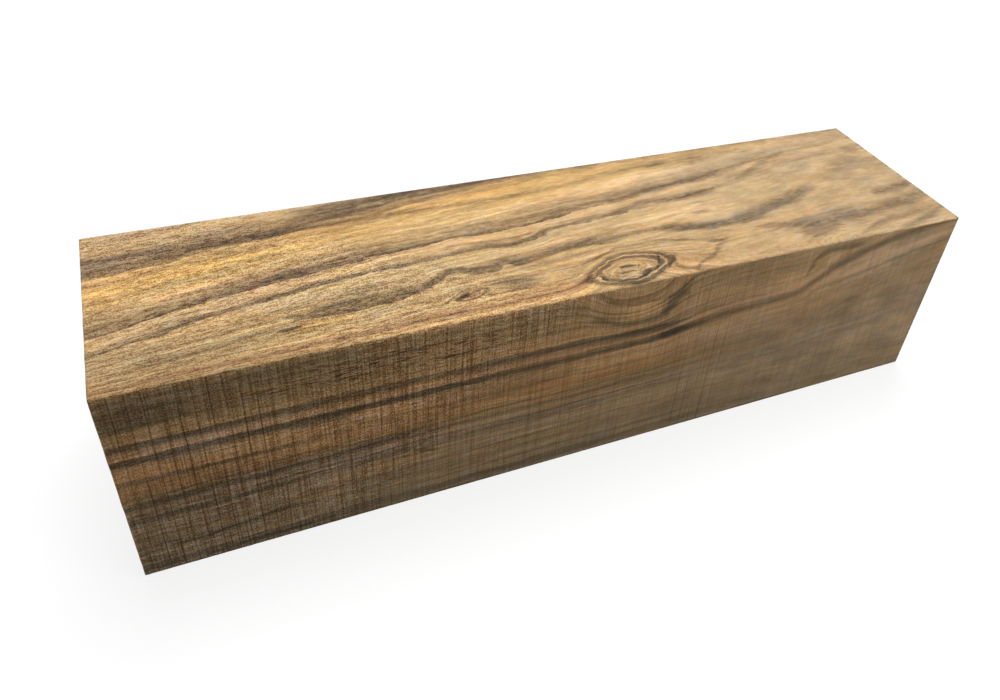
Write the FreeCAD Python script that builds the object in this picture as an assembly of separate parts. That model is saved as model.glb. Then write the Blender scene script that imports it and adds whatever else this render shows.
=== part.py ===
"""A square-section hardwood turning blank: one block sawn from solid wood, lying on a long face.

The grain runs along +X. +Y points from the front face to the back face, and +Z up. The origin is
on the supporting face, under the middle of the block. Every length is in millimetres.
"""
import FreeCAD
import Part

import os

# Driving dimensions
BLANK_LENGTH = 152.4  # along the grain, six inches
BLANK_WIDTH = 38.1  # from the front face to the back face, one and a half inches
BLANK_HEIGHT = 38.1  # from the supporting face to the top face, one and a half inches
LONG_EDGE_RADIUS = 0.30  # handling wear on the four edges that run with the grain
END_EDGE_BREAK = 0.20  # the small break that the crosscut leaves round each end

ALONG_GRAIN = FreeCAD.Vector(1, 0, 0)
ON_PLANE = 1e-6  # how near a point lies to a plane to count as on it


def cross_section(x, width, height):
    """The sawn square across the grain, standing on Z = 0 and centred on Y = 0."""
    half = width / 2
    corners = [(-half, 0), (half, 0), (half, height), (-half, height), (-half, 0)]
    return Part.Face(Part.makePolygon([FreeCAD.Vector(x, y, z) for y, z in corners]))


def edges_with_grain(block):
    """The four long edges, which run from end to end."""
    return [edge for edge in block.Edges if edge.BoundBox.XLength > ON_PLANE]


def edges_round_ends(block, length):
    """The outline of both crosscut ends, the rounded corners included."""

    def on_an_end(vertex):
        return abs(abs(vertex.X) - length / 2) < ON_PLANE

    return [
        edge for edge in block.Edges
        if edge.BoundBox.XLength < ON_PLANE and all(map(on_an_end, edge.Vertexes))
    ]


def make_turning_blank():
    """Extrude the section along the grain, round the long edges and break the end edges."""
    sawn = cross_section(-BLANK_LENGTH / 2, BLANK_WIDTH, BLANK_HEIGHT)
    block = sawn.extrude(ALONG_GRAIN * BLANK_LENGTH)
    block = block.makeFillet(LONG_EDGE_RADIUS, edges_with_grain(block))
    return block.makeChamfer(END_EDGE_BREAK, edges_round_ends(block, BLANK_LENGTH))


def main():
    os.makedirs("parts", exist_ok=True)
    blank = make_turning_blank()
    blank.exportStep("parts/turning_blank.step")
    print("turning_blank: valid", blank.isValid(), "solids", len(blank.Solids),
          "faces", len(blank.Faces), "volume in mm3", round(blank.Volume, 1))


main()
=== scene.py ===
"""Looks of the hardwood turning blank: its growth rings, knots, planed, sawn and crosscut faces.

The figure is one solid pattern. Growth rings curve round a pith line that lies outside the block,
and each face shows the cut that it makes through the same rings. Lengths in the patterns are in
millimetres: x from the left end, y from the front face, z from the supporting face.
"""
import math
from collections import namedtuple

import bmesh
import bpy
from mathutils import Euler, Matrix, Vector, noise as smooth_noise


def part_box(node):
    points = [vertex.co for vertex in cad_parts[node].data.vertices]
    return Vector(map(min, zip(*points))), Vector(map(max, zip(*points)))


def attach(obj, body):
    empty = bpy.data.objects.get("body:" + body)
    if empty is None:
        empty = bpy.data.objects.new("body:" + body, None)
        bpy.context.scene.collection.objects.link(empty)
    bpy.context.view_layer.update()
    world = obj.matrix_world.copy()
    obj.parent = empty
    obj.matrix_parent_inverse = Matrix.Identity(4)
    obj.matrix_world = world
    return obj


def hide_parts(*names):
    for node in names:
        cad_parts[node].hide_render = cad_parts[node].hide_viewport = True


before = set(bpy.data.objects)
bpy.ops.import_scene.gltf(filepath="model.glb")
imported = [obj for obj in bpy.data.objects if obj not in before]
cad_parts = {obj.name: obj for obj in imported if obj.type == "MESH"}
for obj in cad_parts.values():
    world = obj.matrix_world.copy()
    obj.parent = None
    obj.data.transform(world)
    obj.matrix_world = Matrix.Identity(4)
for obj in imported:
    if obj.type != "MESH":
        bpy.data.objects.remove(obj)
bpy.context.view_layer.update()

MM = 0.001
NODE = "turning_blank"
LOW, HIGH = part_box(NODE)
LENGTH, WIDTH, HEIGHT = (HIGH - LOW) / MM

# Camera
CAMERA_PLACE = Vector((-0.0605, -0.1138, 0.1231))
CAMERA_AIM = Vector((-0.00743, -0.01694, 0.0381))
CAMERA_ROLL = math.radians(6.84)
LENS_PIXELS = 873.2  # focal length, in pixels of the 1000 pixel wide frame
FRAME_WIDTH, FRAME_HEIGHT = 1000, 700
AXIS_PIXEL = (565.6, 291.3)  # where the lens's axis meets the frame

# Growth rings
PITH_Y, PITH_Z = 69.0, -47.4  # the heart of the tree, beyond the lower back edge
RADIAL_Y, RADIAL_Z = -0.628, 0.778  # from the pith towards the top front edge

# How far the bands on the top face wander towards the back, by x
TOP_DRIFT = [(0, -7.8), (20, -3.7), (40, -0.7), (60, 0.8), (80, 2.8), (100, 5.2), (120, 8.2),
             (130, 11.0), (152.4, 13.0)]
# The same towards the back edge
BACK_DRIFT = [(0, -6.8), (20, -4.4), (40, -1.6), (50, 0), (60, 1.8), (80, 4.5), (100, 7.0),
              (152.4, 13.0)]
# How far the bands on the front face climb, by x
FRONT_LIFT = [(0, 0), (84, 0), (93, 1.5), (101, 2.6), (115, 2.9), (120.7, 5.3), (126, 7.8),
              (131, 9.4), (139, 11.3), (152.4, 12.8)]

# Dark bands, by where they meet the face if nothing bends them: z on the front, y on the top. Each
# is its sharp outer edge, its inner edge, its darkness and how far it fades beyond the inner edge.
FRONT_BANDS = [
    (40.4, 39.6, 0.30, 1.0), (36.6, 36.1, 0.35, 0.5),
    (35.1, 34.4, 0.25, 0.6), (33.2, 32.8, 0.15, 0.4), (32.2, 31.6, 0.20, 0.5),
    (28.8, 27.7, 0.36, 0.4), (25.9, 24.7, 0.48, 0.3), (23.4, 23.2, 0.20, 0.2),
    (21.1, 20.7, 0.22, 0.4), (18.3, 18.1, 0.15, 0.1), (17.7, 17.3, 0.28, 0.3),
    (16.4, 15.6, 0.30, 0.3), (14.3, 14.0, 0.30, 0.2), (13.4, 12.6, 0.28, 0.4),
    (11.6, 11.4, 0.15, 0.3), (8.8, 8.4, 0.20, 0.3), (7.2, 5.9, 0.15, 0.6),
    (4.2, 3.9, 0.20, 0.3), (2.6, 1.1, 0.36, 0.1), (0.5, 0.2, 0.30, 0.2),
]
TOP_BANDS = [
    (-1.4, -0.9, 0.30, 0.4), (2.0, 2.4, 0.25, 0.4), (4.6, 4.9, 0.25, 0.4),
    (6.8, 7.4, 0.12, 0.6), (11.0, 12.6, 0.12, 1.0), (16.2, 17.2, 0.55, 1.3),
    (20.2, 21.0, 0.74, 2.2), (27.5, 27.9, 0.12, 0.5), (31.0, 31.6, 0.22, 0.5),
    (33.2, 35.2, 0.24, 0.4), (36.6, 38.6, 0.20, 0.7), (42.0, 42.6, 0.20, 0.6),
]

# How sharply the finest grain shows, by distance from the near top corner
SHARPNESS = [(0, 1.15), (25, 1.2), (45, 1.65), (60, 1.65), (78, 0.5), (98, 0.4), (120, 0.22),
             (155, 0.14), (230, 0.14)]

# How soft the edges of the drawn marks are, by the same distance
MARK_BLUR = [(0, 0.12), (60, 0.18), (90, 0.4), (115, 0.6), (155, 1.0), (230, 1.0)]

# How strongly the bands show, by x
TOP_BAND_STRENGTH = [(0, 0.9), (20, 1.0), (50, 0.95), (75, 0.85), (86, 0.8), (95, 0.4), (112, 0.3),
                     (132, 0.2), (152.4, 0.15)]
FRONT_BAND_STRENGTH = [(0, 0.8), (30, 0.85), (90, 0.8), (99, 0.35), (115, 0.25), (152.4, 0.2)]

# Tints of the wood between the dark bands, by z on the front and y on the top
# The front's tints are darker than the top's partly as the wood's own tone and partly as painted
# shade of the rough sawn face
FRONT_TINTS = [
    (0, (0.35, 0.25, 0.15)), (5, (0.42, 0.29, 0.16)), (8, (0.42, 0.28, 0.15)),
    (11, (0.44, 0.30, 0.17)), (14, (0.39, 0.26, 0.15)), (18, (0.40, 0.24, 0.105)),
    (20, (0.50, 0.275, 0.12)), (22.5, (0.64, 0.375, 0.17)), (26.5, (0.60, 0.35, 0.18)),
    (30, (0.54, 0.33, 0.15)), (32, (0.51, 0.32, 0.155)), (36, (0.52, 0.33, 0.16)),
    (38.1, (0.56, 0.35, 0.17)), (50, (0.58, 0.35, 0.17)),
]
TOP_TINTS = [
    (-17, (0.68, 0.45, 0.21)), (-3, (0.70, 0.46, 0.21)), (0.8, (0.76, 0.47, 0.19)),
    (2.1, (0.57, 0.31, 0.125)), (4.5, (0.68, 0.43, 0.18)), (10, (0.66, 0.43, 0.19)),
    (15, (0.70, 0.47, 0.22)), (18.5, (0.75, 0.48, 0.22)), (22.5, (0.74, 0.47, 0.21)),
    (24.5, (0.77, 0.47, 0.19)), (27, (0.74, 0.46, 0.17)), (30.5, (0.76, 0.46, 0.16)),
    (33, (0.66, 0.39, 0.15)), (36, (0.62, 0.40, 0.19)), (41, (0.67, 0.43, 0.20)),
    (46, (0.70, 0.45, 0.22)),
]
# Partly painted light: it brightens the front face towards the right end, and gives the top a
# paler, greyer tone there
FAR_END_TINT_AND_PAINTED_LIGHT = (0.56, 0.40, 0.23)  # which the others come nearer to towards the right end
# Dyes in the wood, each as how quickly it takes away red, green and blue
TOP_BAND_DYE = (1.62, 1.67, 1.66)
FRONT_BAND_DYE = (1.64, 1.50, 1.46)
FIBRE_DYE = (1.10, 1.40, 1.90)
GOLD_DYE = (-0.054, -0.015, 0.085)
FLUSH_DYE = (-0.034, 0.042, -0.010)

# Marks are drawn on one face and placed by x and their level: y on the top, z on the front

# Soft spots: x, level, half length, half width, slope in degrees, darkness, or lightness below 0
TOP_PATCHES = [
    (14, 5, 28, 6, 0, 0.14), (12, 0, 34, 3, 0, 0.17), (137, 18, 20, 22, 0, 0.04),
    (45, 14.5, 14, 1.5, 0, 0.06), (26.5, 6.2, 1.9, 0.6, 0, 1.00), (38, 5.6, 12, 1.1, 0, -0.07),
    (62, 6.5, 5, 2.4, -8, 0.42), (122.5, 4.8, 5.5, 2.6, 0, 0.40), (98, 17, 17, 2.0, 3, -0.24),
    (35, 11.8, 16, 1.8, 4, 0.12), (54.5, 10.0, 3.6, 1.7, 0, 0.08), (45, 2.2, 20, 1.0, 0, 0.12),
    (68, 27, 10, 1.8, 6, -0.08), (40, 16.8, 13, 0.8, 2, -0.20), (72.5, 3.6, 3, 0.8, 20, 0.25),
    (2, 16.5, 5, 2.5, 10, 0.18), (29, 19.4, 5, 1.1, 8, 0.35), (102.3, 16.5, 3.0, 0.6, 0, 0.30),
    (136.5, 24.5, 4.5, 2.2, 55, -0.10), (142.5, 23.5, 6.5, 3.4, 50, 0.17),
    (148.5, 29, 3, 1.6, 10, 0.25), (148, 23, 5, 4, 0, 0.12), (110, 34.5, 16, 2.5, 5, 0.22),
    (103, 34.2, 3, 0.7, 5, 0.35), (113, 34.8, 3, 0.5, 3, 0.30), (62, 32, 14, 2.4, 8, -0.08),
    (96, 30.4, 22, 2.6, 6, -0.18), (112.5, 4.4, 6, 2.8, 0, -0.12), (53.2, 5.7, 1.4, 0.7, 10, 1.10),
    (56.0, 6.6, 0.8, 0.4, 10, 0.50), (84.2, 2.6, 3.0, 0.6, 27, 0.80),
    (79.8, 1.6, 2.4, 0.45, -4, 0.70), (76.6, 3.2, 1.8, 0.35, -42, 0.65),
    (87.5, 5.5, 1.6, 0.3, 78, 0.55), (82.0, 5.3, 2.2, 0.45, -3, 0.90),
    (81.2, 3.6, 2.4, 0.3, -2, 0.60), (84.2, 4.8, 1.0, 0.2, 75, 0.45),
    (89.6, 4.0, 2.4, 0.35, 52, 0.50), (101, 7.4, 2.2, 0.6, -4, 0.45),
    (94.5, 1.8, 4, 1.4, -20, -0.15),
]
FRONT_PATCHES = [
    # The lightening at x 12, z 25.7 is a painted sheen, a reflection painted into the colour
    (5, 33.3, 9, 2.6, 0, 0.28), (12, 35, 34, 6, 0, 0.24), (12, 25.7, 6, 2.6, 0, -0.24),
    (10, 9, 22, 5, 0, 0.10), (58, 22.6, 16, 2.6, 0, 0.20), (58, 16.5, 17, 3.2, 0, -0.16),
    (26, 30.2, 24, 1.2, 0, 0.10), (127, 31.2, 26, 4.6, 6, -0.14), (142, 35.4, 10, 1.8, 8, 0.12),
    (118, 5.5, 42, 6, 0, 0.13), (89.2, 33.4, 4.2, 1.4, 55, 0.50), (90, 25.6, 3, 1.2, 5, 0.2),
    (45, 11.8, 3, 0.6, -12, 0.40), (83, 32.3, 4, 1.5, 5, -0.32), (108, 35, 12, 4, 0, 0.08),
    (123.5, 34.8, 2.4, 0.8, 20, -0.20), (138, 31.5, 14, 2.2, 14, -0.15),
    (105, 12.5, 6, 0.9, 0, 0.15), (121, 10.8, 5, 1.4, 0, 0.12), (131, 22.8, 4, 1.2, 0, 0.15),
    (90, 26.2, 4, 0.5, 8, 0.30), (3, 5, 4, 8, 0, 0.12),
]
# Two light chips torn out of the front face
NICKS = [(34.8, 23.0, 0.45, 0.35, 60, 1.0), (4.1, 21.0, 0.28, 0.22, 0, 0.7)]
NICK_TINT = (0.72, 0.60, 0.42)
# Long streaks, each as points of x, the levels of its crisp and its soft edge, and its darkness
TOP_STREAKS = [
    [(0, 26.9, 31.8, 0.35), (7, 27.3, 33.4, 0.30), (14, 28.6, 33.2, 0.27), (17, 29.8, 34.2, 0.32),
     (27, 29.9, 34.0, 0.36), (32, 31.5, 34.8, 0.48), (38, 32.6, 36.8, 0.52),
     (47, 34.2, 37.8, 0.50), (50.5, 35.4, 38.8, 0.65), (57, 35.8, 39.2, 0.50),
     (68, 37.3, 40.0, 0.45), (80, 39, 42, 0.3)],
    [(31, 35.4, 37.4, 0.0), (36, 35.6, 38.0, 0.40), (46, 36.0, 38.6, 0.30), (50, 37, 39, 0.2)],
    [(5, 4.4, 5.6, 0.0), (9, 4.4, 6.4, 0.27), (14, 4.6, 6.1, 0.27), (18, 5.0, 6.3, 0.25),
     (21, 5.9, 6.7, 0.40), (24, 6.2, 6.8, 0.2), (26, 6.4, 7.0, 0.0)],
    [(26.5, 8.3, 9.2, 0.0), (30, 7.6, 9.6, 0.60), (36, 7.4, 11.2, 0.62), (44, 7.8, 11.0, 0.62),
     (48.2, 9.3, 11.6, 0.62), (51.2, 10.9, 13.2, 0.60), (54, 11.8, 13.8, 0.60),
     (56.5, 10.6, 13.0, 0.65), (59, 10.3, 13.4, 0.50), (62.3, 11.6, 14.2, 0.55),
     (64, 10.7, 14.0, 0.60), (68, 11.2, 13.6, 0.35), (72.5, 12.2, 14.6, 0.50),
     (77, 12.3, 15.4, 0.55), (83, 12.5, 14.6, 0.45), (90, 13.2, 14.8, 0.40),
     (94.6, 12.6, 14.8, 0.62), (98, 11.8, 14.6, 0.62), (102, 11.1, 13.6, 0.70),
     (106, 11.0, 13.4, 0.48), (112, 11.3, 15.4, 0.52), (117, 12.8, 16.8, 0.55),
     (122, 14.0, 18.2, 0.45), (127, 16.0, 19.5, 0.30), (131, 17.8, 20.5, 0.0)],
    [(109, 8.4, 9.2, 0.0), (113, 8.1, 9.6, 0.35), (118, 6.6, 10.0, 0.42), (124, 6.0, 10.0, 0.40),
     (134, 5.9, 9.6, 0.40), (141, 6.4, 9.8, 0.42), (146, 7.0, 10.6, 0.42),
     (152.4, 8.8, 12.5, 0.35)],
    [(128, 0.6, 1.6, 0.0), (132, 1.6, 3.0, 0.45), (137, 2.9, 4.7, 0.45), (144, 3.4, 5.0, 0.35),
     (150, 4.2, 5.6, 0.15)],
    [(136, -1.0, 0.6, 0.40), (142, 0.6, 2.2, 0.40), (147, 2.0, 3.8, 0.40), (152.4, 3.8, 5.4, 0.30)],
    [(86, 24.0, 26.4, 0.0), (92, 24.8, 26.9, 0.30), (98, 25.5, 27.4, 0.50),
     (106, 26.2, 28.2, 0.52), (111, 26.8, 29.0, 0.48), (116, 27.8, 29.8, 0.35),
     (124, 29.6, 31.6, 0.20), (134, 30.5, 33, 0.0)],
    [(116, 24.2, 25.6, 0.0), (120, 25.5, 27.2, 0.32), (123, 27.2, 29.0, 0.32),
     (129, 29.6, 31.4, 0.25), (134, 31.0, 32.5, 0.0)],
    [(86, 19.9, 21.4, 0.0), (91, 21.1, 22.6, 0.40), (95.5, 22.0, 23.4, 0.40),
     (99.5, 21.0, 23.2, 0.55), (104, 21.3, 23.4, 0.55), (108, 21.9, 23.7, 0.45),
     (112, 23.2, 24.6, 0.25), (116, 24, 25, 0.0)],
    [(140, 11.5, 13.2, 0.0), (143, 11.7, 14.2, 0.45), (149.5, 12.4, 15.0, 0.45),
     (152.4, 13.0, 15.0, 0.3)],
    [(76, 30.6, 32.0, 0.30), (84, 31.8, 33.2, 0.25), (92, 33.4, 34.6, 0.25),
     (104, 34.2, 35.4, 0.10), (112, 34.6, 36.0, 0.0)],
    [(75, 8.2, 9.0, 0.0), (79, 9.2, 9.8, 0.45), (84, 10.4, 11.0, 0.40), (90, 10.4, 11.0, 0.40),
     (95, 9.1, 9.8, 0.50), (99, 8.2, 9.0, 0.30), (103, 7.6, 8.6, 0.0)],
    [(92.5, 0.6, 1.3, 0.0), (95, 1.9, 2.8, 0.42), (98, 3.6, 4.7, 0.38), (102, 6.2, 7.4, 0.25),
     (105, 7.6, 8.6, 0.0)],
]
FRONT_STREAKS = [
    [(0, 28.9, 26.9, 0.40), (15, 28.6, 26.7, 0.38), (33, 29.0, 26.5, 0.40), (41, 28.9, 26.6, 0.40),
     (47, 28.7, 27.1, 0.28), (53, 28.5, 26.4, 0.42), (75, 28.2, 26.4, 0.50),
     (82, 28.0, 26.2, 0.85), (90, 28.0, 26.6, 0.80), (94, 28.9, 28.1, 0.35),
     (99, 29.6, 28.8, 0.30), (110, 30.1, 29.2, 0.15), (115, 30.4, 29.6, 0.0)],
    [(0, 25.8, 23.7, 0.45), (10, 25.8, 23.4, 0.40), (16, 25.7, 23.9, 0.45), (22, 25.7, 23.9, 0.50),
     (25, 25.6, 23.3, 0.58), (32, 25.6, 23.1, 0.58), (34.5, 25.6, 24.1, 0.42),
     (50, 25.6, 24.1, 0.45), (65, 25.4, 23.8, 0.45), (75, 25.2, 23.8, 0.40),
     (84, 25.2, 24.1, 0.40), (88, 25.6, 24.1, 0.65), (92, 26.2, 24.5, 0.70),
     (97, 26.9, 25.2, 0.42), (103, 27.6, 25.8, 0.36), (112, 28.1, 26.2, 0.36),
     (117, 29.2, 27.0, 0.36), (120, 31.4, 28.8, 0.42), (124, 33.6, 31.2, 0.55),
     (128, 35.1, 32.8, 0.55), (132, 36.1, 34.0, 0.45), (137, 37.2, 35.2, 0.45),
     (143, 38.2, 36.2, 0.40), (152.4, 39, 37.0, 0.40)],
    [(73, 33.0, 32.0, 0.0), (75.5, 32.2, 30.8, 0.40), (80, 30.4, 29.0, 0.45),
     (84, 30.2, 28.8, 0.45), (87, 31.2, 29.2, 0.40), (90, 33.0, 30.6, 0.0)],
    [(75, 36.5, 35.6, 0.0), (79, 34.8, 33.8, 0.30), (84, 34.4, 33.4, 0.30), (88, 36.2, 34.6, 0.0)],
    [(116.5, 32.6, 31.0, 0.0), (118, 34.8, 32.4, 0.40), (119.5, 36.6, 34.4, 0.45),
     (122, 37.2, 35.8, 0.50), (127, 37.2, 36.0, 0.40), (129.5, 37, 36, 0.0)],
    [(119, 27.8, 27.0, 0.0), (124, 28.6, 27.6, 0.30), (136, 31.0, 29.8, 0.35),
     (146, 33.0, 31.8, 0.30), (152.4, 34.2, 33.2, 0.25)],
    [(0, 21.5, 20.3, 0.45), (10, 21.4, 20.2, 0.40), (18, 21.2, 20.2, 0.40), (26, 21.6, 20.8, 0.15),
     (38, 22.0, 21.2, 0.25), (50, 21.6, 20.8, 0.1), (60, 21.5, 20.8, 0.0)],
    [(0, 16.8, 14.9, 0.20), (6, 16.6, 14.9, 0.40), (12, 16.8, 14.9, 0.30), (22, 16.5, 15.2, 0.35),
     (30, 16.7, 15.8, 0.15), (38, 17.3, 16.2, 0.35), (52, 17.6, 16.8, 0.12), (62, 18.4, 17.6, 0.0)],
    [(0, 13.2, 11.8, 0.15), (8, 13.1, 11.6, 0.40), (14, 12.8, 11.9, 0.20), (19, 13.0, 11.9, 0.35),
     (25, 12.9, 12.3, 0.0)],
    [(5, 5.8, 5.1, 0.0), (8, 5.8, 5.0, 0.55), (14, 6.3, 5.5, 0.50), (21, 7.3, 6.5, 0.45),
     (25, 7.6, 7.0, 0.0)],
    [(9, 1.3, 0.7, 0.0), (13, 1.5, 0.8, 0.40), (23, 1.7, 1.0, 0.40), (27, 1.8, 1.2, 0.0)],
]
# Local hue, in the form of the soft spots: golden above 0 and blue-grey below
TOP_HUES = [
    (31, 6.0, 7, 1.2, 2, 3.0), (14, 24.5, 16, 2.6, 6, 1.0), (45, 32.0, 12, 1.2, 9, 1.4),
    (66, 33.5, 14, 1.6, 5, 0.6), (40, 13.0, 18, 2.0, 4, -0.4), (100, 30, 30, 3, 5, -1.0),
    (50, 1.2, 60, 1.2, 0, 0.5), (67, 27, 12, 1.6, 6, -1.0), (137, 24.5, 4, 3, 50, 0.8),
    (140, 12, 16, 5, 0, -0.4), (110, 13, 12, 2.4, 8, -1.4), (113, 5, 7, 3, 0, -0.8),
    (126, 7, 13, 3.6, 0, -1.6), (130, 34, 28, 3, 5, -0.8), (14, 9.5, 16, 3.5, 3, 0.8),
    (36, 8.8, 9, 1.6, 0, 1.0),
]
FRONT_HUES = [
    # The blue-grey at x 11, z 26 is the same painted sheen, a reflection painted into the colour
    (11, 26, 8, 3.2, 0, -2.2), (40, 11, 14, 1.6, 0, 1.2), (138, 32, 16, 5, 12, -1.8),
    (105, 22.5, 16, 4, 0, -1.4), (82, 33, 7, 4, 0, 0.8), (25, 15.5, 26, 2.6, 0, -1.0),
    (60, 27, 40, 0.8, 0, 1.0), (130, 15, 40, 14, 0, -0.8),
]
# All the marks of one face. Waver is how far the streaks and patches stray from their level.
MARK_DEPTH = 4.0  # how deep under their face they reach
Marks = namedtuple("Marks", "waver patches streaks hues nicks")
TOP_MARKS = Marks(0.32, TOP_PATCHES, TOP_STREAKS, TOP_HUES, [])
FRONT_MARKS = Marks(0.16, FRONT_PATCHES, FRONT_STREAKS, FRONT_HUES, NICKS)

# Knots on the top face. Push is how far they bend the growth rings out. Rings are their own dark
# rings as (distance, darkness), where distance 1 is the knot's outline.
Knot = namedtuple("Knot", "x y half_length half_width slope push rings")
KNOTS = [
    Knot(54.2, 5.9, 3.6, 1.4, 9, 2.4,
         [(0, 0.3), (0.30, 0.15), (0.62, 0.1), (0.80, 0.6), (0.92, 0.4), (1.05, 0)]),
    Knot(82.0, 4.6, 9.0, 4.3, 7, 4.0,
         [(0, 0.05), (0.24, 0.0), (0.29, 0.24), (0.34, 0.02), (0.42, 0.10), (0.50, 0.26),
          (0.54, 0.1), (0.60, 0.6), (0.68, 0.85), (0.735, 0.15), (0.78, 0.0), (0.82, 0.65),
          (0.93, 0.80), (1.0, 0.35), (1.10, 0)]),
]
# Where grown-over wood bulges the rings outwards, or inwards: centre, half sizes, how far
BULGES = [((81.5, -1.5, 36.0), (9.0, 3.6, 7.0), 4.0), ((67, 17.5, 38.1), (5, 3, 6), -0.5),
          ((57, 20.5, 38.1), (3, 2, 6), 0.3), ((36, 14.5, 38.1), (6, 2, 6), 0.25)]

# Saw marks on the front, the back and the ends
SAW_PITCH = 2.04  # between the strong marks
SAW_STRENGTH = [(0, 1.0), (18, 1.0), (24, 0.4), (60, 0.3), (90, 0.15), (94, 0.5), (100, 0.5),
                (104, 0.15), (152.4, 0.15)]
CROSSCUT_Y, CROSSCUT_Z = -60, 80  # centre of the arcs on the ends, beyond the top front edge

# The block's mesh
EDGE_ROUNDING = 0.2
EDGE_MARGIN = 0.26  # the strip beside each edge that isn't divided
DIVISIONS = (470, 34, 34)  # cuts across x, y and z, fine enough for the saw marks
FLAT = 0.98  # a flat face's normal reaches at least this far along its axis
PLANED = 2  # the slot of the planed finish, which the rounded edges have too

# Where a place lies in the tree. Spot is the place again, as the knots read it. On_top is 1 under
# the top face and 0 under the front. Focus is the distance from the near top corner, and flow is
# the place measured along the grain, by ring and across.
Wood = namedtuple("Wood", "place x y z spot ring on_top focus flow")


class Signal:
    """One output of a shader node. Arithmetic on it adds Math nodes, so a pattern is a formula."""

    def __init__(self, socket):
        self.socket = socket
        self.tree = socket.id_data

    def math(self, operation, *others):
        node = self.tree.nodes.new("ShaderNodeMath")
        node.operation = operation
        for entry, value in zip(node.inputs, (self, *others)):
            feed(entry, value)
        return Signal(node.outputs["Value"])

    def __add__(self, other):
        return self.math("ADD", other)

    __radd__ = __add__

    def __sub__(self, other):
        return self.math("SUBTRACT", other)

    def __rsub__(self, other):
        return self * -1.0 + other

    def __mul__(self, other):
        return self.math("MULTIPLY", other)

    def __truediv__(self, other):
        return self.math("DIVIDE", other)

    def __pow__(self, other):
        return self.math("POWER", other)


def feed(entry, value):
    """Link a signal to a node's input, or set the input to a plain value."""
    if isinstance(value, Signal):
        value.tree.links.new(value.socket, entry)
    else:
        entry.default_value = value


def add_node(tree, kind, **settings):
    node = tree.nodes.new(kind)
    for name, value in settings.items():
        setattr(node, name, value)
    return node


def split(place):
    """The x, y and z of a place."""
    node = add_node(place.tree, "ShaderNodeSeparateXYZ")
    feed(node.inputs[0], place)
    return [Signal(output) for output in node.outputs]


def point(x, y, z):
    node = add_node(x.tree, "ShaderNodeCombineXYZ")
    for entry, value in zip(node.inputs, (x, y, z)):
        feed(entry, value)
    return Signal(node.outputs["Vector"])


def noise(place, size, seed, detail=2.0):
    """Smooth noise from about -1 to 1. Size is the length of one blotch along each axis, in mm.

    The size and the seed go in the node's own mapping, which takes no further nodes.
    """
    node = add_node(place.tree, "ShaderNodeTexNoise")
    node.texture_mapping.scale = [1 / length for length in size]
    node.texture_mapping.translation = (seed * 7.3, seed * 3.1, seed * 5.7)
    feed(node.inputs["Vector"], place)
    feed(node.inputs["Scale"], 1.0)
    feed(node.inputs["Detail"], detail)
    return Signal(node.outputs["Fac"]).math("MULTIPLY_ADD", 4.0, -2.0)


def step(value, low, high, start=0.0, end=1.0):
    """Pass smoothly from start to end while the value goes from low to high."""
    node = add_node(value.tree, "ShaderNodeMapRange", interpolation_type="SMOOTHSTEP")
    for entry, number in zip(node.inputs, (value, low, high, start, end)):
        feed(entry, number)
    return Signal(node.outputs["Result"])


def curve(value, points):
    """A smooth line through (position, height) points, level beyond both ends."""
    positions = [position for position, height in points]
    heights = [height for position, height in points]
    left, length = positions[0], positions[-1] - positions[0]
    low, rise = min(heights), max(heights) - min(heights)
    along = value.math("MULTIPLY_ADD", 1 / length, -left / length)
    node = add_node(value.tree, "ShaderNodeFloatCurve")
    node.mapping.extend = "HORIZONTAL"
    line = node.mapping.curves[0]
    for number, (position, height) in enumerate(points):
        place = ((position - left) / length, (height - low) / rise)
        if number < 2:
            line.points[number].location = place
        else:
            line.points.new(*place)
    for mark in line.points:
        mark.handle_type = "AUTO_CLAMPED"
    node.mapping.update()
    feed(node.inputs["Value"], along)
    return Signal(node.outputs["Value"]).math("MULTIPLY_ADD", rise, low)


def colour_line(value, stops):
    """A colour that changes along (position, colour) stops."""
    left, right = stops[0][0], stops[-1][0]
    along = (value - left) / (right - left)
    node = add_node(value.tree, "ShaderNodeValToRGB")
    ramp = node.color_ramp
    for number, (position, colour) in enumerate(stops):
        place = (position - left) / (right - left)
        if number < 2:
            stop = ramp.elements[number]
            stop.position = place
        else:
            stop = ramp.elements.new(place)
        stop.color = (*colour, 1.0)
    feed(node.inputs["Fac"], along)
    return Signal(node.outputs["Color"])


def blend(first, second, amount):
    """Mix two colours."""
    node = add_node(amount.tree, "ShaderNodeMix", data_type="RGBA")
    feed(node.inputs["Factor"], amount)
    for entry, colour in ((node.inputs[6], first), (node.inputs[7], second)):
        feed(entry, colour if isinstance(colour, Signal) else (*colour, 1.0))
    return Signal(node.outputs[2])


def stain(colour, *dyes):
    """Pass a colour through (dye, amount) pairs. An amount below 0 leaves it lighter."""
    left = []
    for channel in range(3):
        depth = sum((amount * dye[channel] for dye, amount in dyes), start=0.0)
        left.append((depth * -1.0).math("EXPONENT"))
    left = point(*left)
    node = add_node(colour.tree, "ShaderNodeVectorMath", operation="MULTIPLY")
    feed(node.inputs[0], colour)
    feed(node.inputs[1], left)
    return Signal(node.outputs["Vector"])


def dim(colour, amount):
    """Multiply a colour by a brightness."""
    node = add_node(colour.tree, "ShaderNodeVectorMath", operation="SCALE")
    feed(node.inputs[0], colour)
    feed(node.inputs["Scale"], amount)
    return Signal(node.outputs["Vector"])


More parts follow.
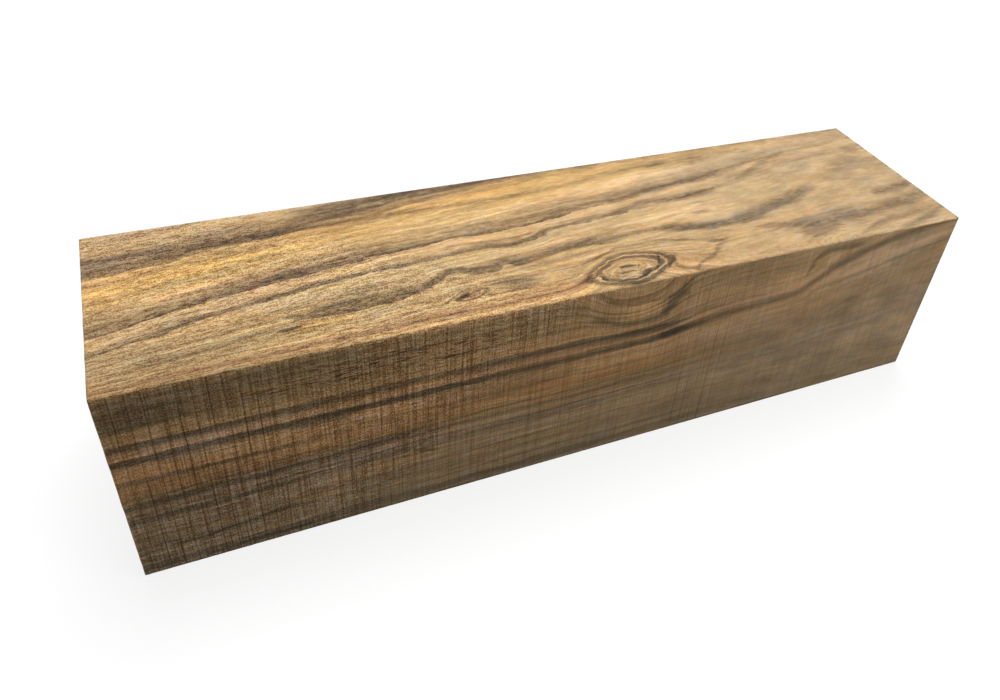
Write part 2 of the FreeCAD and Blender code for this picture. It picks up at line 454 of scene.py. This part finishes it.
def nearness(place, centre, sizes):
    """Distance from a centre, measured so that it is 1 on an ellipsoid of the given half sizes."""
    local = add_node(place.tree, "ShaderNodeVectorMath", operation="MULTIPLY_ADD")
    feed(local.inputs[0], place)
    feed(local.inputs[1], [1 / size for size in sizes])
    feed(local.inputs[2], [-middle / size for middle, size in zip(centre, sizes)])
    length = add_node(place.tree, "ShaderNodeVectorMath", operation="LENGTH")
    feed(length.inputs[0], Signal(local.outputs["Vector"]))
    return Signal(length.outputs["Value"])


def dot(place, direction):
    node = add_node(place.tree, "ShaderNodeVectorMath", operation="DOT_PRODUCT")
    feed(node.inputs[0], place)
    feed(node.inputs[1], direction)
    return Signal(node.outputs["Value"])


def knot_axes(place, knot):
    """How far a place is along and aside of a knot that runs straight out from the pith."""
    centre = Vector((knot.x, knot.y, HEIGHT))
    turn = Euler((math.asin(-RADIAL_Y), 0, math.radians(knot.slope))).to_matrix()
    forward, sideways = turn.col[0] / knot.half_length, turn.col[1] / (knot.half_width * RADIAL_Z)
    along = dot(place, forward) - forward.dot(centre)
    aside = dot(place, sideways) - sideways.dot(centre)
    return along, aside


def knot_distance(along, aside):
    """Distance from a knot's line, 1 on its outline, which narrows to a point at both ends."""
    pinched = aside * (along * along * 0.6 + 1.0)
    return (along * along + pinched * pinched).math("SQRT")


def ring_on_front(z):
    return math.hypot(PITH_Y, z - PITH_Z)


def ring_on_top(y):
    """The ring under a place on the top face. Drift and knots bring up those with a negative y."""
    return math.hypot(PITH_Y - y, HEIGHT - PITH_Z)


def band_line(bands, ring_at):
    """Dark bands as (ring, darkness) points, each fading inwards from its sharp edge."""
    edge = 0.06
    points = []
    for outer, inner, darkness, fade in bands:
        outer, inner = ring_at(outer), ring_at(inner)
        points += [(outer + edge, 0), (outer - edge, 1.2 * darkness), (inner, 0.72 * darkness),
                   (inner - 0.4 * fade, 0.4 * darkness), (inner - fade, 0)]
    return sorted(points)


def tint_line(tints, ring_at):
    return sorted((ring_at(position), colour) for position, colour in tints)


def find_rings(place):
    """Each place's ring and its way along the grain, bent by drift, waves and knots."""
    x, y, z = split(place)
    spot = point(x, y, z)

    sway = (y / (x * 0.11 + 8.0)).math("SMOOTH_MIN", 1.0, 0.3)
    near_drift, back_drift = curve(x, TOP_DRIFT), curve(x, BACK_DRIFT)
    drift = near_drift + (back_drift - near_drift) * step(y, 21, 32)
    drifted_y = y - drift * sway
    lift = curve(x, FRONT_LIFT) * step(y, 0, z * -0.6 + (HEIGHT * 0.6 + 6), 1, 0)
    lifted_z = z - lift * step(z, 6, 36)

    ring = ((drifted_y - PITH_Y) ** 2 + (lifted_z - PITH_Z) ** 2).math("SQRT")
    for centre, sizes, push in BULGES:
        ring = ring + (nearness(spot, centre, sizes) ** 4.0 * -1.0).math("EXPONENT") * push
    for knot in KNOTS:
        distance = knot_distance(*knot_axes(spot, knot))
        ring = ring + (distance ** 2.0 * -1.6).math("EXPONENT") * knot.push
    from_arris = y + 0.35
    on_top = step(from_arris / (from_arris + (HEIGHT - z)), 0.35, 0.75)
    jag = noise(place, (9, 3, 3), 2) * (on_top * 0.14 + 0.10)
    ring = ring + noise(place, (35, 12, 12), 1) * 0.3 + jag
    across = y * RADIAL_Z + z * -RADIAL_Y
    focus = x + y * 1.3 + (HEIGHT - z)
    return Wood(place, x, y, z, spot, ring, on_top, focus, point(x, ring, across))


def spots(x, level, ragged, ovals):
    """Soft spots on one face, added up. Ragged is a signal near 1 that frays their outlines."""
    place = point(x, level, 1.0)
    total = 0.0
    for middle_x, middle_level, half_length, half_width, slope, strength in ovals:
        cosine, sine = math.cos(math.radians(slope)), math.sin(math.radians(slope))
        forward = Vector((cosine, sine, -middle_x * cosine - middle_level * sine)) / half_length
        upward = Vector((-sine, cosine, middle_x * sine - middle_level * cosine)) / half_width
        lengthwise, sideways = dot(place, forward), dot(place, upward)
        square = lengthwise * lengthwise + sideways * sideways
        total = step(square * ragged, 0.0, 1.1, strength, 0) + total
    return total


def streaks_along(x, level, blur, streaks):
    """Long streaks on one face, added up. Each starts at a crisp edge and fades to a soft one."""
    total = 0.0
    for streak in streaks:
        widths = [(at, soft - crisp) for at, crisp, soft, dark in streak]
        edge = curve(x, [(at, crisp) for at, crisp, soft, dark in streak])
        width = curve(x, widths)
        darkness = curve(x, [(at, dark) for at, crisp, soft, dark in streak])
        fades_up = widths[0][1] > 0
        inside = level - edge if fades_up else edge - level
        rise = step(inside, blur * -1.0, blur)
        fall = step(inside / width.math("ABSOLUTE"), 0.35, 1.15, 1, 0)
        total = rise * fall * darkness + total
    return total


def place_on_face(wood, marks):
    """The level on the marks' face, and 1 on that face, falling to 0 at the depth they reach."""
    if marks is TOP_MARKS:
        return wood.y, step(wood.z, HEIGHT - MARK_DEPTH, HEIGHT)
    return wood.z, step(wood.y, 0, MARK_DEPTH, 1, 0)


def draw_marks(wood, level, ragged, marks):
    """The darkness of one face's streaks and patches."""
    bent_x = wood.x + noise(wood.place, (6, 3, 3), 41) * 0.9
    bent_level = level + noise(wood.place, (5, 1.6, 1.6), 42, 3.0) * marks.waver
    blur = curve(wood.focus, MARK_BLUR)
    granular = noise(wood.flow, (1.2, 0.34, 0.7), 43, 3.0) * wood.on_top * 0.42 + 1.0
    streaked = streaks_along(bent_x, bent_level, blur, marks.streaks) * granular
    return spots(bent_x, bent_level, ragged, marks.patches) + streaked


def hidden_faces(wood):
    """1 on the right end, the back and the underside, where all the figure is clear."""
    at_end = step(wood.x, LENGTH - 1.0, LENGTH - 0.2)
    at_back = step(wood.y, WIDTH - 1.1, WIDTH - 0.2)
    return at_end.math("MAXIMUM", at_back).math("MAXIMUM", step(wood.z, 0.2, 1.1, 1, 0))


def draw_bands(wood, ring, unseen):
    """The dark bands of the rings, and the broad dark figure near the heart of the tree."""
    least = unseen * 0.8
    front_dark = curve(ring, band_line(FRONT_BANDS, ring_on_front))
    front_dark = front_dark * curve(wood.x, FRONT_BAND_STRENGTH).math("MAXIMUM", least)
    top_dark = curve(ring, band_line(TOP_BANDS, ring_on_top))
    top_dark = top_dark * curve(wood.x, TOP_BAND_STRENGTH).math("MAXIMUM", least)
    darkness = front_dark + (top_dark - front_dark) * wood.on_top
    heart = step(noise(wood.flow, (60, 2.6, 40), 53, 3.0), 0.0, 0.9, 0, 0.6)
    return darkness + heart * step(wood.ring, 86, 93, 1, 0) * step(wood.y, 8, 22)


def draw_knots(wood, darkness):
    """Clear the bands out of the knots, and put the knots' own rings there."""
    for number, knot in enumerate(KNOTS):
        along, aside = knot_axes(wood.spot, knot)
        distance = knot_distance(along, aside)
        towards_dark = along * 0.55 - aside * 0.85
        bent = distance + noise(wood.place, (2.4, 1.2, 1.2), 20 + number) * 0.08
        uneven = noise(wood.place, (4, 2.5, 2.5), 24 + number) * 0.3 + 0.9
        rings = curve(bent, knot.rings) * uneven
        rings = rings * step(towards_dark, -1, 1, 0.7, 1.25)
        darkness = darkness * step(bent, 0.8, 1.05) + rings
    return darkness


def draw_grain(wood, darkness, streaks, unseen):
    """The darkness with its fine lines, and apart from it the detail of fibres, pores and wisps."""
    flow = wood.flow
    lines = noise(flow, (70, 0.6, 12), 6)
    threads = noise(flow, (30, 0.20, 1.0), 32, 1.0)
    mottle = noise(flow, (6, 0.8, 2.0), 8)
    clear = curve(wood.focus, SHARPNESS).math("MAXIMUM", unseen)
    far = step(wood.focus, 85, 135) * (1.0 - unseen)
    striation = noise(flow, (8, 0.42, 2.5), 49, 1.0) * step(wood.z, 16, 26, 0.15, 0)
    striation = striation * (far * -0.6 + 1.0)
    lined = (streaks * 0.06 + lines * 0.14 + mottle * 0.06) * (wood.on_top * 0.5 + 0.5) + striation
    blotches = noise(wood.place, (7, 3, 3), 46, 1.0) * 0.12
    darkness = darkness + lined + (blotches - lined * 0.75) * far + wood.on_top * 0.05 + 0.02
    darkness = darkness.math("MAXIMUM", -0.15).math("MINIMUM", 1.5)

    grit = noise(wood.place, (0.21, 0.21, 0.21), 10, 0.0)
    fibre = noise(flow, (1.3, 0.14, 0.24), 7, 1.0)
    dashes = noise(flow, (2.4, 0.33, 0.6), 33, 1.0)
    wisps = step(noise(flow, (9, 0.8, 2.5), 47, 1.0).math("ABSOLUTE"), 0.02, 0.17, 1, 0)
    wisps = wisps * step(noise(flow, (14, 2, 6), 48), -0.3, 0.6) * (clear * 0.8 + 0.1)
    pores = step(noise(flow, (1.5, 0.12, 0.2), 9, 1.0), 0.35, 1.0)
    pore_row = step(nearness(wood.spot, (40, 0, 33.2), (26, 4, 2.8)), 0.5, 1.1, 1, 0)
    pores = pores + step(noise(flow, (2.4, 0.2, 0.4), 40, 0.0), 0.50, 0.75) * pore_row * 3.0
    detail = (grit * 0.28 + fibre * 0.30 + pores * 0.28) * clear + dashes * (clear * 0.12 + 0.08)
    detail = detail + wisps * 0.22
    detail = detail * (darkness + 0.76) + (streaks * 0.16 + threads * 0.10) * (far * -0.7 + 1.0)
    detail = (detail * (wood.on_top * 0.3 + 0.75) * 1.1 - 0.02).math("SMOOTH_MAX", -0.30, 0.25)
    return darkness, detail, fibre


def make_wood_group(name, marks=None):
    """Solid wood: its colour, and how dark its rings are, at every place in the block.

    Marks are those of the face that the finish is for. The renderer works the nodes out in the
    order they are made and holds few values at once, so each is made just before it is used.
    """
    tree = bpy.data.node_groups.new(name, "ShaderNodeTree")
    for output, kind in (("Colour", "NodeSocketColor"), ("Place", "NodeSocketVector"),
                         ("Darkness", "NodeSocketFloat")):
        tree.interface.new_socket(output, in_out="OUTPUT", socket_type=kind)

    coordinates = add_node(tree, "ShaderNodeTexCoord")
    corner = add_node(tree, "ShaderNodeMapping", vector_type="TEXTURE")
    feed(corner.inputs["Vector"], Signal(coordinates.outputs["Object"]))
    feed(corner.inputs["Location"], LOW)
    feed(corner.inputs["Scale"], (MM, MM, MM))
    wood = find_rings(Signal(corner.outputs["Vector"]))
    place, ring, flow, on_top = wood.place, wood.ring, wood.flow, wood.on_top

    splinters = noise(flow, (6, 0.9, 2), 30) * (on_top * 0.08 + 0.02)
    fuzzy_ring = ring + noise(place, (0.9, 0.5, 0.5), 3, 1.0) * 0.08 + splinters
    unseen = hidden_faces(wood)
    darkness = draw_bands(wood, fuzzy_ring, unseen)
    streaks = noise(flow, (16, 0.40, 1.8), 31, 3.0)
    clumps = noise(flow, (1.4, 0.36, 0.8), 52, 3.0)
    uneven = noise(flow, (25, 3, 8), 4) * 0.25 + (streaks * 0.3 + clumps * 0.35) * on_top + 0.95
    darkness = draw_knots(wood, darkness * uneven)
    if marks:
        level, near = place_on_face(wood, marks)
        ragged = noise(place, (3, 0.6, 0.6), 5) * 0.6 + 1.0
        darkness = darkness + draw_marks(wood, level, ragged, marks) * near
    darkness, detail, fibre = draw_grain(wood, darkness, streaks, unseen)

    warmth = noise(flow, (18, 0.7, 3), 34) + fibre * 0.7 + noise(flow, (4, 0.3, 1), 35) * 1.4
    if marks:
        warmth = warmth + spots(wood.x, level, ragged, marks.hues) * near
    flush = noise(flow, (2.5, 0.35, 0.8), 44) * 1.2 + noise(flow, (20, 2.0, 6), 45) * 0.5

    front_tint = colour_line(ring, tint_line(FRONT_TINTS, ring_on_front))
    top_tint = colour_line(ring, tint_line(TOP_TINTS, ring_on_top))
    tint = blend(front_tint, top_tint, on_top)
    # Painted light brightens the front face towards the right end, and the top turns paler and
    # greyer
    tint = blend(tint, FAR_END_TINT_AND_PAINTED_LIGHT, step(wood.x, 60, 150, 0, 0.5))
    top_share = darkness * on_top
    colour = stain(tint, (TOP_BAND_DYE, top_share), (FRONT_BAND_DYE, darkness - top_share),
                   (FIBRE_DYE, detail), (GOLD_DYE, warmth), (FLUSH_DYE, flush))
    if marks and marks.nicks:
        colour = blend(colour, NICK_TINT, spots(wood.x, level, 1.0, marks.nicks) * near)

    result = add_node(tree, "NodeGroupOutput")
    for entry, signal in zip(result.inputs, (colour, place, darkness)):
        feed(entry, signal)
    return tree


def new_finish(name, marks=None):
    """A material on the solid wood, for one kind of cut. Returns it and the wood's signals."""
    group = make_wood_group("solid_" + name, marks)
    material = bpy.data.materials.new(name)
    material.use_nodes = True
    tree = material.node_tree
    wood = add_node(tree, "ShaderNodeGroup", node_tree=group)
    return material, {output.name: Signal(output) for output in wood.outputs}


def finish_with(material, colour, roughness, height):
    """Put colour, roughness and relief, in mm, on the material's shader."""
    tree = material.node_tree
    shader = tree.nodes["Principled BSDF"]
    bump = add_node(tree, "ShaderNodeBump")
    feed(bump.inputs["Distance"], MM)
    feed(bump.inputs["Height"], height)
    feed(shader.inputs["Base Color"], colour)
    feed(shader.inputs["Roughness"], roughness)
    feed(shader.inputs["Specular IOR Level"], 0.2)
    feed(shader.inputs["Normal"], Signal(bump.outputs["Normal"]))


def open_pores(place, length, depth):
    """Relief in mm, of fibres that stand up a little and pores that the cut has opened."""
    fibres = noise(place, (length, 0.14, 0.24), 50, 1.0)
    pores = step(noise(place, (length, 0.12, 0.2), 51, 1.0), 0.35, 1.0)
    return fibres * 0.006 - pores * depth


def planed_finish():
    material, wood = new_finish("planed_wood", TOP_MARKS)
    shimmer = noise(wood["Place"], (1.6, 0.8, 0.8), 11)
    colour = dim(wood["Colour"], shimmer * 0.06 + 1.0)
    height = open_pores(wood["Place"], 1.4, 0.03)
    finish_with(material, colour, wood["Darkness"] * 0.1 + 0.5, height)
    return material


def sawn_finish():
    """Marks of the saw across a long face: fine ones, and the strong ones at the blade's pitch,
    dark partly with painted shade.
    """
    material, wood = new_finish("bandsawn_wood", FRONT_MARKS)
    place = wood["Place"]
    x, y, z = split(place)
    at_back = step(y, 30, 37)
    clear = curve(x + (HEIGHT - z), SHARPNESS) * (1.0 - at_back) + at_back * 0.5

    waver = noise(place, (60, 60, 9), 12) * 0.08
    turn = ((x + waver) / SAW_PITCH).math("FRACT")
    uneven = noise(place, (3.1, 60, 7), 14) * 0.5 + 0.75
    strength = curve(x, SAW_STRENGTH).math("MAXIMUM", at_back * 0.5)
    strong = step((turn - 0.5).math("ABSOLUTE"), 0.42, 0.495) * strength * uneven
    fine = noise(place, (0.28, 30, 9), 13, 1.0)
    broad = noise(place, (0.9, 30, 20), 15, 1.0)
    grit = noise(place, (0.22, 0.22, 0.22), 19, 0.0)
    # The marks darken partly with their own colour and partly with painted shade of their grooves.
    # The 0.14 added below darkens the whole sawn face with painted shade of its rough surface.
    depth = (fine * -0.36 - grit * 0.36) * clear - broad * (clear * 0.08 + 0.03) - 0.02
    depth = depth.math("SMOOTH_MAX", -0.26, 0.22) + strong * 0.70
    colour = stain(wood["Colour"], (FIBRE_DYE, depth + 0.14))
    height = fine * 0.012 - strong * 0.06 + grit * 0.006
    finish_with(material, colour, 0.75, height)
    return material


def crosscut_finish():
    material, wood = new_finish("crosscut_wood")
    speckle = noise(wood["Place"], (0.5, 0.35, 0.35), 16)
    colour = dim(wood["Colour"], speckle * 0.10 + 0.72)
    height = speckle * 0.02 + open_pores(wood["Place"], 2.4, 0.05)
    finish_with(material, colour, 0.8, height)
    return material


def main_axis(normal):
    """The axis, 0 to 2, that a face looks along."""
    return max(range(3), key=lambda axis: abs(normal[axis]))


def saw_depth(x, z, seed):
    """Depth in mm of the band saw's marks on a long face: a fine ripple and the strong ones."""
    phase = x / SAW_PITCH
    strong = max(0.0, 1 - abs(phase - round(phase)) * 10)
    strength = 1.0 if x < 20 else 0.35  # as in SAW_STRENGTH, strongest at the left end
    ripple = smooth_noise.noise((x / 0.9, z / 25, seed))
    return 0.035 + strong * strength * 0.05 + ripple * 0.03


def relief(place, axis):
    """Depth in mm of the tool marks on the faces that look along one axis."""
    x, y, z = place
    if axis == 1:
        at_back = y > WIDTH / 2
        return saw_depth(x, z, 3.7 if at_back else 9.1)
    if axis == 2:
        planer_wave = smooth_noise.noise((x / 11, y / 9, 5.3))
        return 0.02 + 0.015 * planer_wave
    from_centre = math.hypot(y - CROSSCUT_Y, z - CROSSCUT_Z)
    saw_arc = smooth_noise.noise((from_centre / 1.6, x, 2.2))
    return 0.06 + 0.05 * saw_arc


def lay_out_for_baking(mesh):
    """Unfold the four long faces into strips one above the other, with the two ends beside them."""
    gap = 1.2
    page = LENGTH + WIDTH + 3 * gap
    layer = mesh.loops.layers.uv.new("OFBake")
    rows = {(2, True): 0, (1, False): 1, (2, False): 2, (1, True): 3, (0, False): 0, (0, True): 1}
    for face in mesh.faces:
        axis = main_axis(face.normal)
        row = rows[axis, face.normal[axis] > 0]
        for loop in face.loops:
            x, y, z = (loop.vert.co - LOW) / MM
            if axis == 0:
                right, up = 2 * gap + LENGTH + y, z
            else:
                right, up = gap + x, (y if axis == 2 else z)
            up = gap + row * (HEIGHT + gap) + up
            loop[layer].uv = (right / page, up / page)


def make_block(finishes):
    """The block with rounded edges and the relief that its saws and planer left.

    The finishes are for the faces that look along x, y and z.
    """
    mesh = bmesh.new()
    bmesh.ops.create_cube(mesh, size=1)
    bmesh.ops.scale(mesh, vec=HIGH - LOW, verts=mesh.verts)
    bmesh.ops.translate(mesh, vec=(HIGH + LOW) / 2, verts=mesh.verts)
    bmesh.ops.bevel(mesh, geom=mesh.edges[:], offset=EDGE_ROUNDING * MM, segments=2, profile=0.5,
                    affect="EDGES", material=-1)
    margin = EDGE_MARGIN * MM
    for axis in range(3):
        for level in (LOW[axis] + margin, HIGH[axis] - margin):
            corner = Vector((0, 0, 0))
            corner[axis] = level
            facing = Vector((0, 0, 0))
            facing[axis] = 1
            bmesh.ops.bisect_plane(mesh, geom=mesh.verts[:] + mesh.edges[:] + mesh.faces[:],
                                   plane_co=corner, plane_no=facing)
    for axis, cuts in enumerate(DIVISIONS):
        span = (HIGH[axis] - LOW[axis]) - 3 * margin
        long_edges = [edge for edge in mesh.edges
                      if abs(edge.verts[0].co[axis] - edge.verts[1].co[axis]) > span]
        bmesh.ops.subdivide_edges(mesh, edges=long_edges, cuts=cuts, use_grid_fill=True)

    mesh.normal_update()
    for vert in mesh.verts:
        place = (vert.co - LOW) / MM
        push = Vector((0, 0, 0))
        for axis in range(3):
            push[axis] = -vert.normal[axis] * relief(place, axis) * MM
        vert.co += push
    mesh.normal_update()
    lay_out_for_baking(mesh)
    for face in mesh.faces:
        face.smooth = True
        axis = main_axis(face.normal)
        face.material_index = axis if abs(face.normal[axis]) > FLAT else PLANED

    data = bpy.data.meshes.new("turning_blank_wood")
    mesh.to_mesh(data)
    mesh.free()
    for finish in finishes:
        data.materials.append(finish)
    block = bpy.data.objects.new("turning_blank_wood", data)
    bpy.context.scene.collection.objects.link(block)
    return block


def make_camera():
    data = bpy.data.cameras.new("view")
    data.sensor_width = 36.0
    data.lens = LENS_PIXELS / FRAME_WIDTH * data.sensor_width
    data.shift_x = (FRAME_WIDTH / 2 - AXIS_PIXEL[0]) / FRAME_WIDTH
    data.shift_y = (AXIS_PIXEL[1] - FRAME_HEIGHT / 2) / FRAME_WIDTH
    data.clip_start, data.clip_end = 0.005, 20
    camera = bpy.data.objects.new("view", data)
    look = (CAMERA_AIM - CAMERA_PLACE).to_track_quat("-Z", "Y")
    turn = look.to_matrix().to_4x4() @ Matrix.Rotation(CAMERA_ROLL, 4, "Z")
    camera.matrix_world = Matrix.Translation(CAMERA_PLACE) @ turn
    bpy.context.scene.collection.objects.link(camera)
    bpy.context.scene.camera = camera


def make_lamp(name, place, aim, size, power):
    data = bpy.data.lights.new(name, "AREA")
    data.size = size
    data.energy = power
    lamp = bpy.data.objects.new(name, data)
    turn = (Vector(aim) - Vector(place)).to_track_quat("-Z", "Y")
    lamp.matrix_world = Matrix.Translation(place) @ turn.to_matrix().to_4x4()
    lamp.visible_camera = False
    bpy.context.scene.collection.objects.link(lamp)


def seen_directly(tree):
    """1 where a ray comes from the camera, a reflection or glass, and 0 where it only lights."""
    path = add_node(tree, "ShaderNodeLightPath")
    kinds = ("Is Camera Ray", "Is Glossy Ray", "Is Transmission Ray")
    camera, glossy, through = [Signal(path.outputs[kind]) for kind in kinds]
    return camera.math("MAXIMUM", glossy).math("MAXIMUM", through)


def make_world():
    world = bpy.data.worlds.new("studio")
    world.use_nodes = True
    tree = world.node_tree
    background = tree.nodes["Background"]
    feed(background.inputs["Color"], (1.0, 1.0, 1.0, 1.0))
    feed(background.inputs["Strength"], step(seen_directly(tree), 0, 1, 0.28, 1.0))
    bpy.context.scene.world = world


def make_floor():
    mesh = bmesh.new()
    bmesh.ops.create_circle(mesh, cap_ends=True, segments=96, radius=4.0)
    data = bpy.data.meshes.new("floor")
    mesh.to_mesh(data)
    mesh.free()
    material = bpy.data.materials.new("pale_floor")
    material.use_nodes = True
    tree = material.node_tree
    tree.nodes.remove(tree.nodes["Principled BSDF"])
    shade = add_node(tree, "ShaderNodeBsdfDiffuse")
    direct = seen_directly(tree)
    feed(shade.inputs["Color"], blend((0.22, 0.22, 0.22), (0.24, 0.24, 0.24), direct))
    coordinates = add_node(tree, "ShaderNodeTexCoord")
    distance = nearness(Signal(coordinates.outputs["Object"]), (0, 0, 0), (1, 1, 1))
    glow = add_node(tree, "ShaderNodeEmission")
    # The glow rises where the lamps' light falls off, so that the floor stays white
    feed(glow.inputs["Strength"], direct * step(distance, 0.2, 1.2, 0.82, 0.93))
    both = add_node(tree, "ShaderNodeAddShader")
    feed(both.inputs[0], Signal(shade.outputs["BSDF"]))
    feed(both.inputs[1], Signal(glow.outputs["Emission"]))
    feed(tree.nodes["Material Output"].inputs["Surface"], Signal(both.outputs["Shader"]))
    data.materials.append(material)
    floor = bpy.data.objects.new("floor", data)
    bpy.context.scene.collection.objects.link(floor)


make_camera()
block = make_block([crosscut_finish(), sawn_finish(), planed_finish()])
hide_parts(NODE)
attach(block, "root")

make_floor()
make_world()
make_lamp("overhead_lamp", (0.12, 0.25, 0.85), (0, 0, 0.02), 0.5, 5.9)
make_lamp("side_fill", (0.20, -0.20, 0.14), (0.06, 0, 0.02), 0.15, 0.24)
bpy.context.scene.view_settings.view_transform = "Standard"
